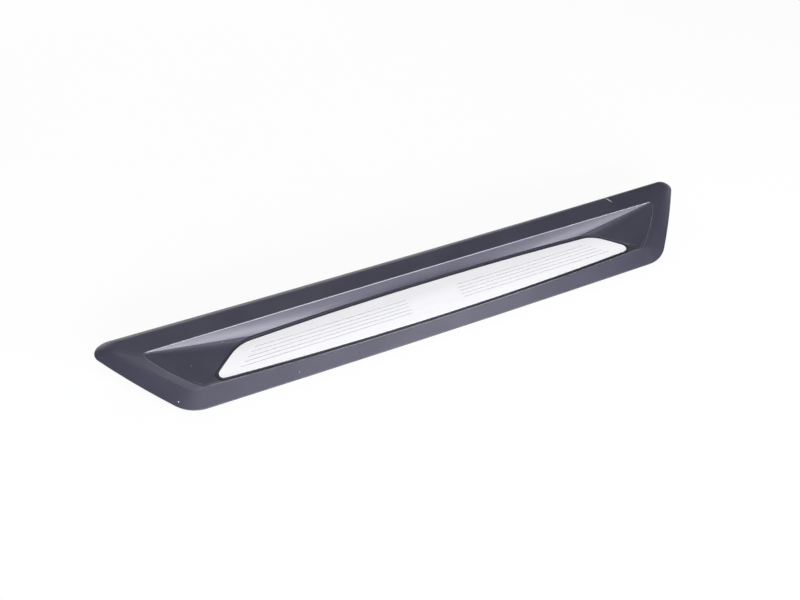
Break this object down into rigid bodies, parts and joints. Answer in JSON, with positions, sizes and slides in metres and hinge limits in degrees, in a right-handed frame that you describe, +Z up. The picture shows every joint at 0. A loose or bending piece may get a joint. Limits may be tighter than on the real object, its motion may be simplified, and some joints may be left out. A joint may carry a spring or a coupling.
{
  "type": "car door sill plate",
  "caption": "Long black moulded door sill trim with a sunk recess, a bright brushed insert plate and push-in clips under its crest.",
  "frame": {"origin": "middle of the plate's box at the height of the surface it lies on", "axes": "+X along the plate's length, +Y from the front edge towards the crest, +Z up as it lies"},
  "size_m": [0.482, 0.0699, 0.0218],
  "materials": {
    "moulding": "fine-grained matt black moulding",
    "insert": "lengthwise brushed, clear-coated, with engraved lines",
    "film": "black foam-backed adhesive film",
    "clips": "natural nylon",
    "washers": "closed-cell foam",
    "pads": "open-cell foam"
  },
  "bodies": {
    "root": {"sill_moulding": "moulding", "insert_plate": "insert", "adhesive_film": "film", "retaining_clips": "clips", "clip_washers": "washers", "foam_pads": "pads"}
  },
  "joints": []
}
